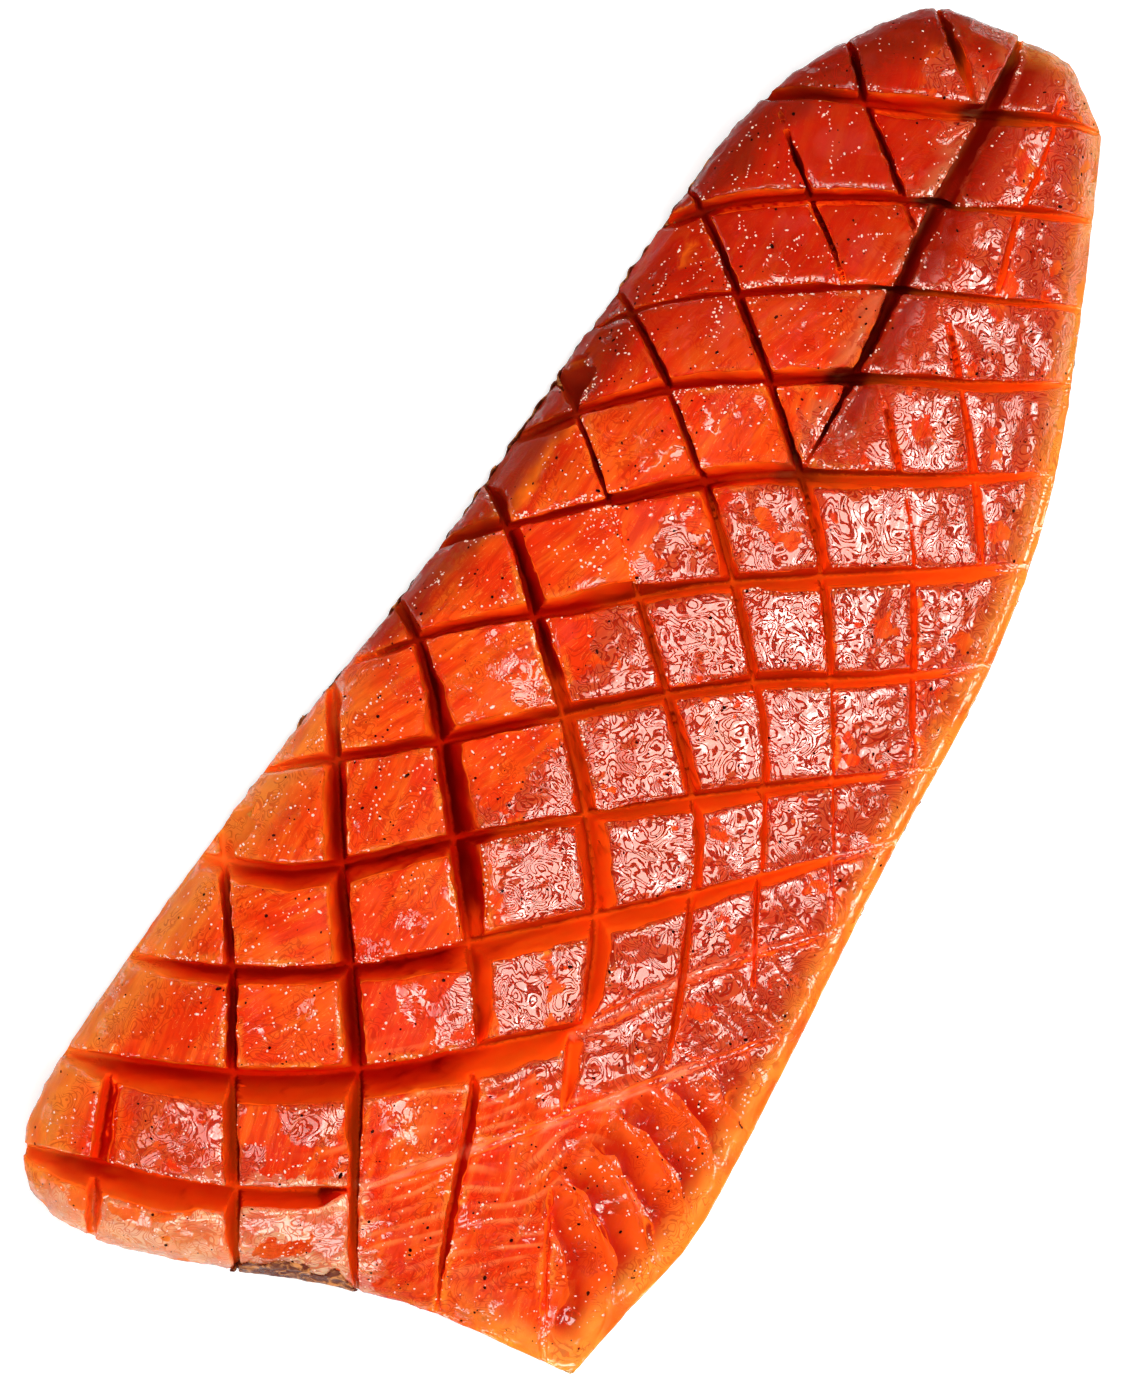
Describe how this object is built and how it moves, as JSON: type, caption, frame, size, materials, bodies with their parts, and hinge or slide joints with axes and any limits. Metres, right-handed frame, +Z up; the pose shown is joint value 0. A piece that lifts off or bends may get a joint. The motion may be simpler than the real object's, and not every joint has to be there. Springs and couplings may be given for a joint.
{
  "type": "dried salmon side",
  "caption": "Dried and smoked side of salmon: a domed, tapering fillet scored in a diamond grid nearly down to its skin, lying flat with the skin below.",
  "frame": {"origin": "middle of the bounding box, on the flat underside", "axes": "+Y along the side towards its narrow end, +X towards its thin belly edge, +Z up through the scored face"},
  "size_m": [0.1828, 0.4392, 0.0328],
  "materials": {
    "flesh": "glossy orange-red cured flesh, oiled, darker where smoked"
  },
  "bodies": {
    "root": {"fillet": "flesh"}
  },
  "joints": []
}
